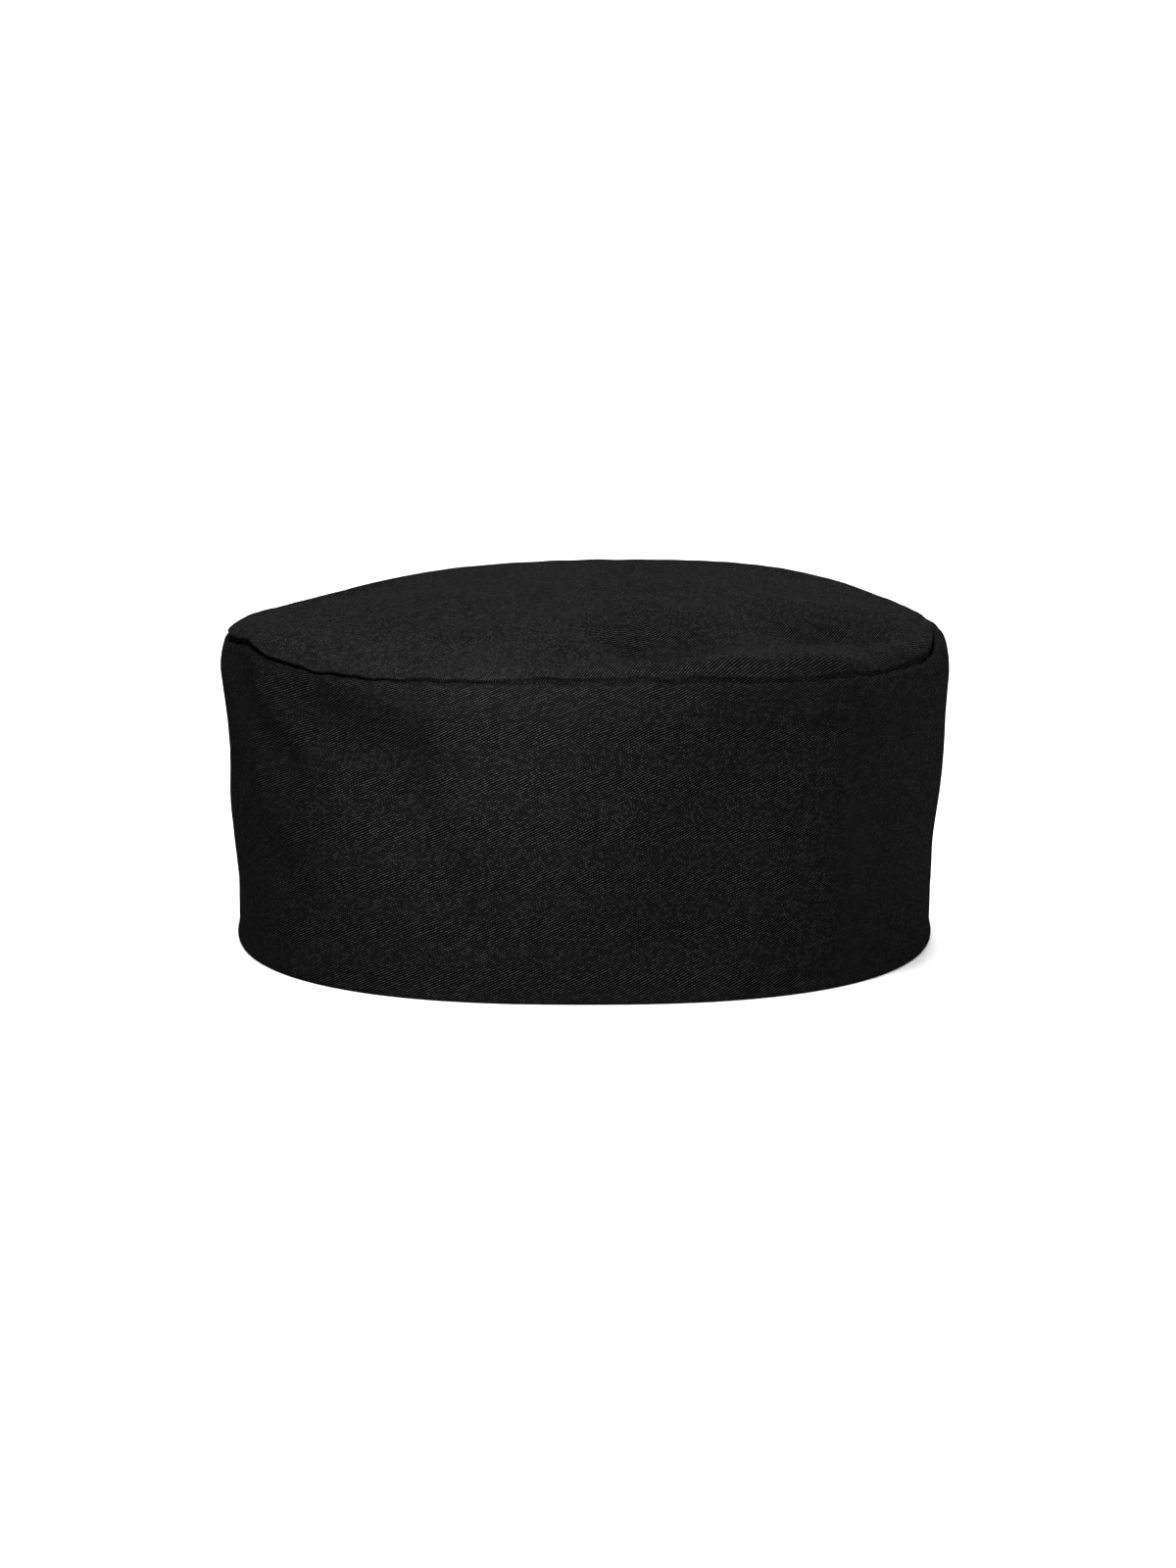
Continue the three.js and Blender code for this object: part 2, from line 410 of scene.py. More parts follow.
    def crease_push(self, theta: Array, height: Array) -> Array:
        """How far the creases and the cloth's unevenness push the wall inwards.

        Args:
            theta: Angles in radians.
            height: Heights in millimetres.

        Returns:
            One push in millimetres for each point.
        """
        sizes = self.sizes
        arc = sizes.round_shoulder_radius * math.radians(1)
        push = np.zeros_like(theta)
        for crease in self.creases:
            across = turn_between(np.degrees(theta), crease.from_angle) * arc
            run = turn_between(crease.to_angle, crease.from_angle) * arc
            start = (0, crease.from_height * sizes.seam_height)
            distance = distance_to_line(across, height, start, (run, crease.to_height * sizes.seam_height))
            push += crease.depth * self.crease_depth * bell(distance, crease.reach * self.crease_reach)
        places = self.on_ring(theta, height)
        push += self.wall_swells.at(places) + self.wall_ripples.at(places)
        near_seam = bell(height - sizes.seam_height, self.pucker_reach) * self.front_share(theta)
        push += near_seam * self.wall_puckers.at(self.on_ring(theta))
        return push * ease(height, 0, sizes.hem_depth)

    def front_share(self, theta: Array) -> Array:
        """How much of the front's puckering is left at an angle, from 1 at the front to 0 at the sides."""
        return 1 - ease(np.sin(theta), *self.pucker_fade)

    def on_ring(self, theta: Array, height: Array | float = 0) -> Array:
        """Places points on the round cap's wall, one row each, for patterns that run round it."""
        radius = self.sizes.round_shoulder_radius
        return np.stack([radius * np.cos(theta), radius * np.sin(theta), height + 0 * theta], axis=1)

    def seam_lift(self, theta: Array) -> Array:
        """How far the crown seam is lifted.

        Args:
            theta: Angles in radians.

        Returns:
            One lift in millimetres for each angle.
        """
        jog_share = 1 - self.jog_loss * ease(np.sin(theta), *self.jog_fade)
        lift = self.wave_height * self.total_at(theta, self.waves)
        return lift + jog_share * self.seam_jogs.at(self.on_ring(theta))

    def seam_shift(self, theta: Array, radius: Array, height: Array) -> Array:
        """How far the seam and the cloth beside it lie further out.

        Args:
            theta: Angles in radians.
            radius: Radii of the round cap.
            height: Heights in millimetres.

        Returns:
            One shift in millimetres for each point.
        """
        sizes = self.sizes
        shift = sizes.seam_inset * self.total_at(theta, self.shifts)
        beside = bell(np.minimum(radius - sizes.seam_radius, 0), 2 * sizes.seam_inset)
        outside = 1 - ease(radius, sizes.seam_radius, sizes.round_shoulder_radius)
        shift *= beside * outside * ease(height, sizes.allowance_end, sizes.groove_height)
        return shift + self.lip_push(theta, radius, height)

    def lip_push(self, theta: Array, radius: Array, height: Array) -> Array:
        """How far the crown's edge hangs out over the seam, above a gap.

        Args:
            theta: Angles in radians.
            radius: Radii of the round cap.
            height: Heights in millimetres.

        Returns:
            One push in millimetres for each point.
        """
        sizes = self.sizes
        share = self.least_gap + (1 - self.least_gap) * self.share_at(theta, self.gaps)
        start = sizes.groove_height + sizes.turn_radius + self.gap_height * share
        push = self.overhang * self.share_at(theta, self.overhangs)
        push *= ease(height, start, start + self.lip_rise) * bell(radius - sizes.seam_radius, self.lip_width)
        return np.where(radius < sizes.seam_radius, push, 0)

    def total_at(self, theta: Array, table: tuple[Stretch, ...]) -> Array:
        """Adds up a table of stretches.

        Args:
            theta: Angles in radians.
            table: The stretches that a form has.

        Returns:
            The sum of their shares at each angle.
        """
        total = np.zeros_like(theta)
        for stretch in table:
            total += stretch.share * bell(turn_between(np.degrees(theta), stretch.angle), stretch.spread)
        return total

    def share_at(self, theta: Array, table: tuple[Stretch, ...]) -> Array:
        """The sum of a table's shares at each angle, kept from 0 to 1."""
        return np.clip(self.total_at(theta, table), 0, 1)

    def quarter_round(self, inwards: Array, width: float) -> Array:
        """The share of its height that a rounded edge has reached at a way in from it."""
        return np.sqrt(1 - np.clip(1 - inwards / width, 0, 1) ** 2)

    def edge_sink(self, theta: Array, radius: Array) -> Array:
        """How far the crown's edge lies under its full puff.

        Args:
            theta: Angles in radians.
            radius: Radii of the round cap.

        Returns:
            One depth in millimetres for each point.
        """
        inwards = np.clip(self.sizes.seam_radius - self.sizes.seam_clearance - radius, 0, None)
        puffed = self.quarter_round(inwards, self.puff_width)
        sloped = (1 - self.bead_share) * (1 - np.clip(1 - inwards / self.soft_edge_width, 0, 1) ** 2)
        sloped += self.bead_share * self.quarter_round(inwards, self.bead_width)
        sink = self.share_at(theta, self.rolls) * self.puff_height * (puffed - sloped)
        crest = self.share_at(theta, self.crests) * self.crest_height
        sink -= crest * bell(inwards - self.puff_width, self.crest_width)
        sink += crest * self.dip_share * bell(inwards - self.dip_place, self.dip_width)
        near_seam = bell(inwards - self.pucker_place, self.pucker_reach) * self.front_share(theta)
        return sink + near_seam * self.crown_puckers.at(self.on_ring(theta))

    def crown_sink(self, right: Array, back: Array) -> Array:
        """How far the crown sinks.

        Args:
            right: Places to the right of the cap's axis, as shares of the crown's half width.
            back: Places behind it, as the same shares.

        Returns:
            One depth in millimetres for each point.
        """
        sink = np.zeros_like(right)
        for hollow in self.hollows:
            start = (hollow.from_right, hollow.from_back)
            distance = distance_to_line(right, back, start, (hollow.to_right, hollow.to_back))
            sink += hollow.depth * self.hollow_depth * bell(distance, hollow.reach)
        places = np.stack([right, back, np.zeros_like(right)], axis=1) * self.sizes.seam_radius
        sink += self.crown_swells.at(places) + self.crown_ripples.at(places)
        return sink * (1 - ease(np.hypot(right, back), *self.hollow_fade))

    def shape(self, theta: Array, radius: Array, height: Array) -> Array:
        """Shapes points of the round cap to the real cap.

        Args:
            theta: Angles in radians.
            radius: Radii of the round cap.
            height: Heights in millimetres.

        Returns:
            One row of x, y and z in millimetres for each point.
        """
        sizes = self.sizes
        share = self.oval_share(theta, height)
        share *= 1 - self.crease_push(theta, height) / sizes.round_shoulder_radius
        right = radius * np.cos(theta)
        back = radius * np.sin(theta)
        near_seam = ease(height, 0, sizes.seam_height) * ease(radius, 0, sizes.seam_radius)
        sink = self.crown_sink(right / sizes.seam_radius, back / sizes.seam_radius)
        sink += np.where(radius < sizes.seam_radius, self.edge_sink(theta, radius), 0)
        sink *= ease(height, sizes.allowance_end, sizes.groove_height)
        sink = np.where(radius < sizes.seam_radius, sink, 0)
        lift = self.seam_lift(theta) * near_seam
        out = share * (1 + self.seam_shift(theta, radius, height) / sizes.seam_radius)
        return np.stack([right * out, back * out, height + lift - sink], axis=1)


@dataclass
class Section:
    """A cloth's cut section: points of radius, height and distance along the cloth, in millimetres."""

    points: list[tuple[float, float, float]] = field(default_factory=list)
    walked: float = 0

    def step_to(self, radius: float, height: float) -> None:
        """Adds a point and counts the way to it along the cloth.

        Args:
            radius: The point's radius.
            height: The point's height.
        """
        if self.points:
            last = self.points[-1]
            self.walked += math.dist(last[:2], (radius, height))
        self.points.append((radius, height, self.walked))

    def go_by(self, spacing: float, *corners: tuple[float, float]) -> None:
        """Goes straight from the last point to each corner in turn.

        Args:
            spacing: Largest distance between points.
            *corners: Radius and height of each corner.
        """
        for end in corners:
            start = self.points[-1]
            count = max(1, math.ceil(math.dist(start[:2], end) / spacing))
            for i in range(1, count + 1):
                share = i / count
                self.step_to(start[0] + (end[0] - start[0]) * share, start[1] + (end[1] - start[1]) * share)

    def bend(
        self,
        centre: tuple[float, float],
        half_sizes: tuple[float, float],
        degrees: tuple[float, float],
        steps: int,
    ) -> None:
        """Adds a stretch of an ellipse.

        Args:
            centre: Radius and height of the ellipse's middle.
            half_sizes: Its half width and half height.
            degrees: The angles that it starts and ends at.
            steps: How many facets it has.
        """
        for i in range(steps + 1):
            angle = math.radians(degrees[0] + (degrees[1] - degrees[0]) * i / steps)
            radius = centre[0] + half_sizes[0] * math.cos(angle)
            height = centre[1] + half_sizes[1] * math.sin(angle)
            if i or not self.points or math.dist(self.points[-1][:2], (radius, height)) > SAME_PLACE:
                self.step_to(radius, height)


@dataclass(frozen=True)
class ClothNoise:
    """Smooth noise over a cloth: its waves in a metre, its finer layers, and the most that it adds."""

    per_metre: float
    layers: float
    amount: float


class Bench:
    """Lays out a material's nodes from left to right and joins them."""

    column_width = 180

    def __init__(self, material: bpy.types.Material) -> None:
        """Empties the material's node tree.

        Args:
            material: The material to build.
        """
        self.tree = material.node_tree
        self.tree.nodes.clear()
        self.column = 0

    def add(self, kind: str, **settings: object) -> bpy.types.Node:
        """Adds a node and gives it its settings.

        Args:
            kind: The node's type name.
            **settings: Properties to set on it.

        Returns:
            The new node.
        """
        node = self.tree.nodes.new(kind)
        node.location = (self.column * self.column_width, 0)
        self.column += 1
        for name, value in settings.items():
            setattr(node, name, value)
        return node

    def feed(self, socket: Socket, value: object) -> None:
        """Links a socket to another one, or sets its value.

        Args:
            socket: The input socket to feed.
            value: An output socket, or a value.
        """
        if isinstance(value, Socket):
            self.tree.links.new(value, socket)
        else:
            socket.default_value = value

    def sum(self, operation: str, *values: object) -> Socket:
        """Adds one step of arithmetic.

        Args:
            operation: The Math node's operation.
            *values: Its values or the sockets that give them, in order.

        Returns:
            The result's socket.
        """
        node = self.add("ShaderNodeMath", operation=operation)
        for socket, value in zip(node.inputs, values):
            self.feed(socket, value)
        return node.outputs[0]

    def add_noise(self, value: object, noise: ClothNoise, place: Socket) -> Socket:
        """Adds smooth noise over the cloth to a value.

        Args:
            value: The value, or the socket that gives it.
            noise: The noise to add.
            place: The place on the cloth, in metres.

        Returns:
            The sum's socket.
        """
        node = self.add("ShaderNodeTexNoise", noise_dimensions="2D")
        self.feed(node.inputs["Vector"], place)
        self.feed(node.inputs["Scale"], noise.per_metre)
        self.feed(node.inputs["Detail"], noise.layers)
        return self.sum("MULTIPLY_ADD", node.outputs["Fac"], noise.amount, value)


class Grain(Enum):
    """How a cloth is cut: the angle in degrees that its twill ribs climb to the right."""

    ROUND_THE_BAND = 26
    ACROSS_THE_CROWN = 55


@dataclass(frozen=True)
class Twill:
    """Black uniform twill: ribs of short floats, with painted shade in the lines between them and painted
    light along their tops.

    Lengths are millimetres.
    """

    name: str
    colour: tuple[float, float, float]
    grain: Grain

    # The ribs, the floats along them, and how both stray.
    rib_pitch: float = 0.56
    rib_roundness: int = 2
    float_length: float = 0.72
    float_roundness: int = 4
    float_end_dip: float = 0.3
    drift: ClothNoise = ClothNoise(45, 2, 0.3 * MM)
    wobble: ClothNoise = ClothNoise(700, 1, 0.03 * MM)

    # How light the floats are, partly random tone and partly painted glints, and how dark the painted shade
    # in the lines between the ribs is, as shares of the colour.
    groove_shade_level: float = 0.02
    rib_shade_sharpness: float = 6
    float_level: float = 0.68
    float_spread: float = 0.95
    spread_power: int = 2

    # Wide and small unevenness of the dye.
    mottles: tuple[ClothNoise, ...] = (ClothNoise(30, 2, 0.2), ClothNoise(420, 3, 0.24))

    # The relief and the surface. Fuller floats are a little smoother.
    relief: float = 0.14
    relief_strength: float = 0.55
    relief_spread: float = 0.3
    roughness: float = 0.94
    smoothing: float = 0.12

    def make(self) -> bpy.types.Material:
        """Builds the material.

        Returns:
            The finished material, which reads the piece's own UV map named cloth, in metres.
        """
        material = bpy.data.materials.new(self.name)
        material.use_nodes = True
        bench = Bench(material)
        place = bench.add("ShaderNodeUVMap", uv_map="cloth").outputs["UV"]
        body, chance = self.weave(bench, place)
        colour = self.dye_and_paint_shade(bench, place, body, chance)
        normal = self.raise_ribs(bench, body, chance)
        roughness = bench.sum("MULTIPLY_ADD", chance, -self.smoothing, self.roughness)

        shader = bench.add("ShaderNodeBsdfPrincipled")
        bench.feed(shader.inputs["Base Color"], colour)
        bench.feed(shader.inputs["Normal"], normal)
        bench.feed(shader.inputs["Roughness"], roughness)
        shader.inputs["Specular IOR Level"].default_value = 0
        output = bench.add("ShaderNodeOutputMaterial")
        bench.feed(output.inputs["Surface"], shader.outputs["BSDF"])
        return material

    def weave(self, bench: Bench, place: Socket) -> tuple[Socket, Socket]:
        """Lays the ribs and cuts them into floats.

        Args:
            bench: Where the nodes go.
            place: The place on the cloth, in metres.

        Returns:
            The height of the thread, from 0 to 1, and a chance value that each float has of its own.
        """
        along, across = self.rib_coordinates(bench, place)
        rib = bench.sum("FLOOR", across)
        shifted = bench.sum("ADD", along, self.rib_start(bench, rib))
        chance = self.chance(bench, rib, bench.sum("FLOOR", shifted))
        roundness = self.round_thread(bench, bench.sum("FRACT", across), self.rib_roundness)
        ends = self.round_thread(bench, bench.sum("FRACT", shifted), self.float_roundness)
        full = bench.sum("MULTIPLY_ADD", ends, self.float_end_dip, 1 - self.float_end_dip)
        return bench.sum("MULTIPLY", roundness, full), chance

    def dye_and_paint_shade(self, bench: Bench, place: Socket, body: Socket, chance: Socket) -> Socket:
        """Colours the threads: painted light along the ribs' tops and painted shade between them, uneven from
        float to float with random tone and painted glints.

        Args:
            bench: Where the nodes go.
            place: The place on the cloth, in metres.
            body: The height of the thread.
            chance: The float's chance value.

        Returns:
            The colour's socket.
        """
        # Painted shade and light: the colour falls from each rib's top down to the lines between the ribs,
        # following the thread's height.
        ridge = bench.sum("POWER", body, self.rib_shade_sharpness)
        shade_and_tone = bench.sum("MULTIPLY_ADD", ridge, 1 - self.groove_shade_level, self.groove_shade_level)
        # Each float's own level: partly random tone, partly painted glints that stand in for the fibres'
        # sparkle.
        uneven = bench.sum("POWER", chance, self.spread_power)
        level = bench.sum("MULTIPLY_ADD", uneven, self.float_spread, self.float_level)
        shade_and_tone = bench.sum("MULTIPLY", shade_and_tone, level)
        for mottle in self.mottles:
            dyed = bench.add_noise(1 - mottle.amount / 2, mottle, place)
            shade_and_tone = bench.sum("MULTIPLY", shade_and_tone, dyed)
        grey = bench.add("ShaderNodeCombineColor")
        for socket in grey.inputs:
            bench.feed(socket, shade_and_tone)
        tint = bench.add("ShaderNodeMix", data_type="RGBA", blend_type="MULTIPLY")
        tint.inputs["Factor"].default_value = 1
        tint.inputs["A"].default_value = (*self.colour, 1)
        bench.feed(tint.inputs["B"], grey.outputs["Color"])
        return tint.outputs["Result"]

    def raise_ribs(self, bench: Bench, body: Socket, chance: Socket) -> Socket:
        """Raises the ribs out of the cloth.

        Args:
            bench: Where the nodes go.
            body: The height of the thread.
            chance: The float's chance value.

        Returns:
            The normal's socket.
        """
        fullness = bench.sum("MULTIPLY_ADD", chance, self.relief_spread, 1 - self.relief_spread / 2)
        bump = bench.add("ShaderNodeBump")
        bump.inputs["Strength"].default_value = self.relief_strength
        bump.inputs["Distance"].default_value = self.relief * MM
        bench.feed(bump.inputs["Height"], bench.sum("MULTIPLY", body, fullness))
        return bump.outputs["Normal"]

    def rib_coordinates(self, bench: Bench, place: Socket) -> tuple[Socket, Socket]:
        """Turns a place on the cloth into counts along and across the ribs.

        Args:
            bench: Where the nodes go.
            place: The place on the cloth, in metres.

        Returns:
            The place along the ribs in floats, and across them in ribs.
        """
        turned = bench.add("ShaderNodeVectorRotate", rotation_type="Z_AXIS")
        bench.feed(turned.inputs["Vector"], place)
        turned.inputs["Angle"].default_value = -math.radians(self.grain.value)
        axes = bench.add("ShaderNodeSeparateXYZ")
        bench.feed(axes.inputs["Vector"], turned.outputs["Vector"])
        strayed = bench.add_noise(axes.outputs["Y"], self.drift, place)
        strayed = bench.add_noise(strayed, self.wobble, place)
        across = bench.sum("DIVIDE", strayed, self.rib_pitch * MM)
        along = bench.sum("DIVIDE", axes.outputs["X"], self.float_length * MM)
        return along, across

    def round_thread(self, bench: Bench, inside: Socket, power: int) -> Socket:
        """The height of a thread across itself: 1 on its middle and 0 at both edges."""
        centred = bench.sum("ABSOLUTE", bench.sum("MULTIPLY_ADD", inside, 2, -1))
        return bench.sum("SUBTRACT", 1, bench.sum("POWER", centred, power))

    def rib_start(self, bench: Bench, rib: Socket) -> Socket:
        """Draws where the floats of each rib start.

        Args:
            bench: Where the nodes go.
            rib: The rib's number.

        Returns:
            A value from 0 to 1 that differs from rib to rib.
        """
        white = bench.add("ShaderNodeTexWhiteNoise", noise_dimensions="1D")
        bench.feed(white.inputs["W"], rib)
        return white.outputs["Value"]

    def chance(self, bench: Bench, rib: Socket, float_number: Socket) -> Socket:
        """Draws each float's own chance value.

        Args:
            bench: Where the nodes go.
            rib: The rib's number.
            float_number: The float's number along the rib.

        Returns:
            A value from 0 to 1 that is the same all over one float.
        """
        pair = bench.add("ShaderNodeCombineXYZ")
        bench.feed(pair.inputs["X"], rib)
        bench.feed(pair.inputs["Y"], float_number)
        white = bench.add("ShaderNodeTexWhiteNoise", noise_dimensions="2D")
        bench.feed(white.inputs["Vector"], pair.outputs["Vector"])
        return white.outputs["Value"]


@dataclass
class ClothPiece:
    """One sewn cloth: a closed section that is spun round the cap, shaped and dressed."""

    name: str
    node: str
    slot: str
    block: HatBlock
    twill: Twill
    stations: int = 120
    finer: int = 3

    def section(self) -> Section:
        """Draws the cloth's closed section."""
        raise NotImplementedError

    def cloth_place(self, turn: Array, walked: Array) -> Array:
        """Finds where points lie on the flat cloth, in millimetres, one row each."""
        raise NotImplementedError

    def spin(self) -> bmesh.types.BMesh:
        """Spins the section once round the cap's axis, starting at the middle of the back.

        Returns:
            The round, unshaped cloth in millimetres, whose vertices keep their place in the section.
        """
        section = self.section()
        mesh = bmesh.new()
        layers = [mesh.verts.layers.float.new(name) for name in KEPT]
        for point in section.points:
            vertex = mesh.verts.new((0, point[0], point[1]))
            for layer, value in zip(layers, point):
                vertex[layer] = value
        mesh.verts.ensure_lookup_table()
        count = len(section.points)
        closes = section.points[-1][0] > 0
        for i in range(count if closes else count - 1):
            mesh.edges.new((mesh.verts[i], mesh.verts[(i + 1) % count]))
        bmesh.ops.spin(
            mesh,
            geom=mesh.verts[:] + mesh.edges[:],
            cent=(0, 0, 0),
            axis=(0, 0, 1),
            angle=FULL_TURN,
            steps=self.stations,
            use_merge=True,
            use_duplicate=False,
        )
        bmesh.ops.remove_doubles(mesh, verts=mesh.verts, dist=SAME_PLACE)
        rings = [edge for edge in mesh.edges if self.runs_round(edge, layers[2])]
        bmesh.ops.subdivide_edges(mesh, edges=rings, cuts=self.finer, use_grid_fill=True)
        bmesh.ops.recalc_face_normals(mesh, faces=mesh.faces)
        return mesh

    def runs_round(self, edge: bmesh.types.BMEdge, walked: bmesh.types.BMLayerItem) -> bool:
        """Whether an edge runs round the cap, with both ends at the same place of the section."""
        return abs(edge.verts[0][walked] - edge.verts[1][walked]) < SAME_PLACE

    def build(self) -> bpy.types.Object:
        """Makes the cloth, shapes it over the block and lays its weave.

        Returns:
            The finished object, which rides on the cap.
        """
        shell = self.spin()
        self.refine(shell)
        theta = np.array([math.atan2(vertex.co.y, vertex.co.x) for vertex in shell.verts])
        layers = [shell.verts.layers.float[name] for name in KEPT]
        kept = np.array([[vertex[layer] for layer in layers] for vertex in shell.verts])
        radius, height, walked = kept.T
        shaped = self.block.shape(theta, radius, height)
        shaped = self.finish_shape(shaped, theta, radius, height)
        for vertex, place in zip(shell.verts, shaped):
            vertex.co = Vector(place) * MM
        mesh = bpy.data.meshes.new(self.name)
        shell.to_mesh(mesh)
        shell.free()
        self.lay_weave(mesh, theta, walked)
        mesh.polygons.foreach_set("use_smooth", np.ones(len(mesh.polygons), dtype=bool))
        mesh.materials.append(self.twill.make())
        piece = put_in_scene(self.name, mesh)
        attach(piece, "root")
        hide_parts(self.node)
        return piece

    def refine(self, shell: bmesh.types.BMesh) -> None:
        """Cuts finer loops where the piece needs them, and has none to cut here."""

    def finish_shape(self, shaped: Array, theta: Array, radius: Array, height: Array) -> Array:
        """Adds the piece's own small forms to its shaped points, and has none to add here."""
        return shaped

    def lay_weave(self, mesh: bpy.types.Mesh, theta: Array, walked: Array) -> None:
        """Gives each face corner its place on the flat cloth, in metres.

        Args:
            mesh: The shaped mesh.
            theta: Each vertex's angle in radians.
            walked: Each vertex's distance along the cloth's section.
        """
        corners = np.empty(len(mesh.loops), dtype=np.int32)
        mesh.loops.foreach_get("vertex_index", corners)
        starts = np.empty(len(mesh.polygons), dtype=np.int32)
        mesh.polygons.foreach_get("loop_start", starts)
        sizes = np.diff(np.append(starts, len(corners)))
        turn = (theta[corners] - math.pi / 2) % FULL_TURN
        widest = np.repeat(np.maximum.reduceat(turn, starts), sizes)
        turn = np.where((widest - turn > math.pi) & (turn < math.pi), turn + FULL_TURN, turn)
        places = self.cloth_place(turn, walked[corners]) * MM
        layer = mesh.uv_layers.new(name="cloth")
        layer.data.foreach_set("uv", places.ravel())


@dataclass
class SideBand(ClothPiece):
    """The side wall, with its hem turned up inside and its shoulder rolled into the crown seam.

    Lengths are millimetres. The back seam is drawn in between two swellings.
    """

    wall_spacing: float = 1.6
    inside_spacing: float = 4

    hem_lip: float = 0.5
    hem_lip_height: float = 4
    hem_edge_radius: float = 0.7
    hem_edge_facets: int = 4
    hem_fold_slant: float = 0.24

    shoulder_facets: int = 12
    inner_shoulder_facets: int = 8
    seam_facets: int = 8
    inner_seam_facets: int = 4

    back_seam_depth: float = 0.9
    back_seam_width: float = 0.8
    back_seam_fade: float = 3
    back_seam_swell: float = 0.35
    back_seam_swell_place: float = 2.4
    back_seam_swell_width: float = 1.5
    back_seam_cuts: tuple[float, ...] = (0.35, 0.7, 1.2, 2, 3.2)

    def section(self) -> Section:
        """Draws the band's section, from the hem's outer edge up the outside and down the inside.

        Returns:
            The closed section.
        """
        sizes = self.block.sizes
        hem = sizes.round_hem_radius
        wide = sizes.round_shoulder_radius
        hem_inside = hem - 2 * sizes.cloth
        shoulder_width = sizes.seam_inset - sizes.turn_radius
        turn_centre = sizes.seam_radius + sizes.turn_radius
        flare = (wide - hem) / (sizes.shoulder_start - sizes.hem_depth)
        edge = self.hem_edge_radius
        line = Section()
        line.bend((hem + self.hem_lip - edge, edge), (edge, edge), (-90, 0), self.hem_edge_facets)
        line.go_by(
            self.wall_spacing,
            (hem + self.hem_lip / 2, self.hem_lip_height / 2),
            (hem, self.hem_lip_height),
            (hem, sizes.hem_depth),
            (wide, sizes.shoulder_start),
        )
        outer_shoulder = (shoulder_width, sizes.shoulder_height)
        line.bend((turn_centre, sizes.shoulder_start), outer_shoulder, (0, 90), self.shoulder_facets)
        groove = (turn_centre, sizes.groove_height)
        line.bend(groove, (sizes.turn_radius, sizes.turn_radius), (90, 180), self.seam_facets)
        line.go_by(
            self.inside_spacing,
            (sizes.seam_radius, sizes.allowance_end),
            (sizes.seam_radius + sizes.cloth, sizes.allowance_end),
            (sizes.seam_radius + sizes.cloth, sizes.groove_height),
        )
        line.bend(groove, (sizes.seam_bend, sizes.seam_bend), (180, 90), self.inner_seam_facets)
        inner_shoulder = (shoulder_width - sizes.cloth, sizes.shoulder_height - sizes.cloth)
        line.bend((turn_centre, sizes.shoulder_start), inner_shoulder, (90, 0), self.inner_shoulder_facets)
        foot = hem + flare * sizes.cloth - sizes.cloth
        line.go_by(
            self.inside_spacing,
            (foot, sizes.hem_depth + sizes.cloth),
            (foot - self.hem_fold_slant, sizes.hem_depth),
            (hem_inside, sizes.hem_depth),
            (hem_inside, edge),
        )
        line.bend((hem_inside + edge, edge), (edge, edge), (180, 270), self.hem_edge_facets)
        return line

    def cloth_place(self, turn: Array, walked: Array) -> Array:
        """Lays the band flat as a strip: round the cap by its mean radius, and up by its section."""
        return np.stack([turn * self.block.sizes.mean_radius, walked], axis=1)

    def near_back_seam(self, place: Vector) -> bool:
        """Whether a place is near enough to the back seam to be cut finer."""
        return place.y > 0 and abs(place.x) < self.back_seam_cuts[-1] * 2

    def refine(self, shell: bmesh.types.BMesh) -> None:
        """Cuts loops up the middle of the back, where the band's two ends are sewn together.

        Args:
            shell: The round, unshaped band.
        """
        for cut in self.back_seam_cuts:
            for side in (-cut, cut):
                near = [face for face in shell.faces if self.near_back_seam(face.calc_center_median())]
                vertices = {vertex for face in near for vertex in face.verts}
                edges = {edge for face in near for edge in face.edges}
                geometry = [*vertices, *edges, *near]
                bmesh.ops.bisect_plane(shell, geom=geometry, plane_co=(side, 0, 0), plane_no=(1, 0, 0))

    def finish_shape(self, shaped: Array, theta: Array, radius: Array, height: Array) -> Array:
        """Draws the back seam in, between two slight swellings.

        Args:
            shaped: The shaped points, one row each, in millimetres.
            theta: Their angles in radians.
            radius: Their radii on the round cap.
            height: Their heights on the round cap.

        Returns:
            The points with the back seam.
        """
        sizes = self.block.sizes
        across = turn_between(np.degrees(theta), 90) * math.radians(1) * radius
        draw = self.back_seam_depth * bell(across, self.back_seam_width)
        beside = np.abs(across) - self.back_seam_swell_place
        draw -= self.back_seam_swell * bell(beside, self.back_seam_swell_width)
        top = sizes.seam_height
        draw *= ease(height, 0, self.back_seam_fade) * (1 - ease(height, top - self.back_seam_fade, top))
        outside = np.where(radius > sizes.round_hem_radius - sizes.cloth / 2, 1, 0)
        share = 1 - draw * outside * (np.sin(theta) > 0) / sizes.round_shoulder_radius
        shaped = shaped.copy()
        shaped[:, :2] *= share[:, None]
        return shaped


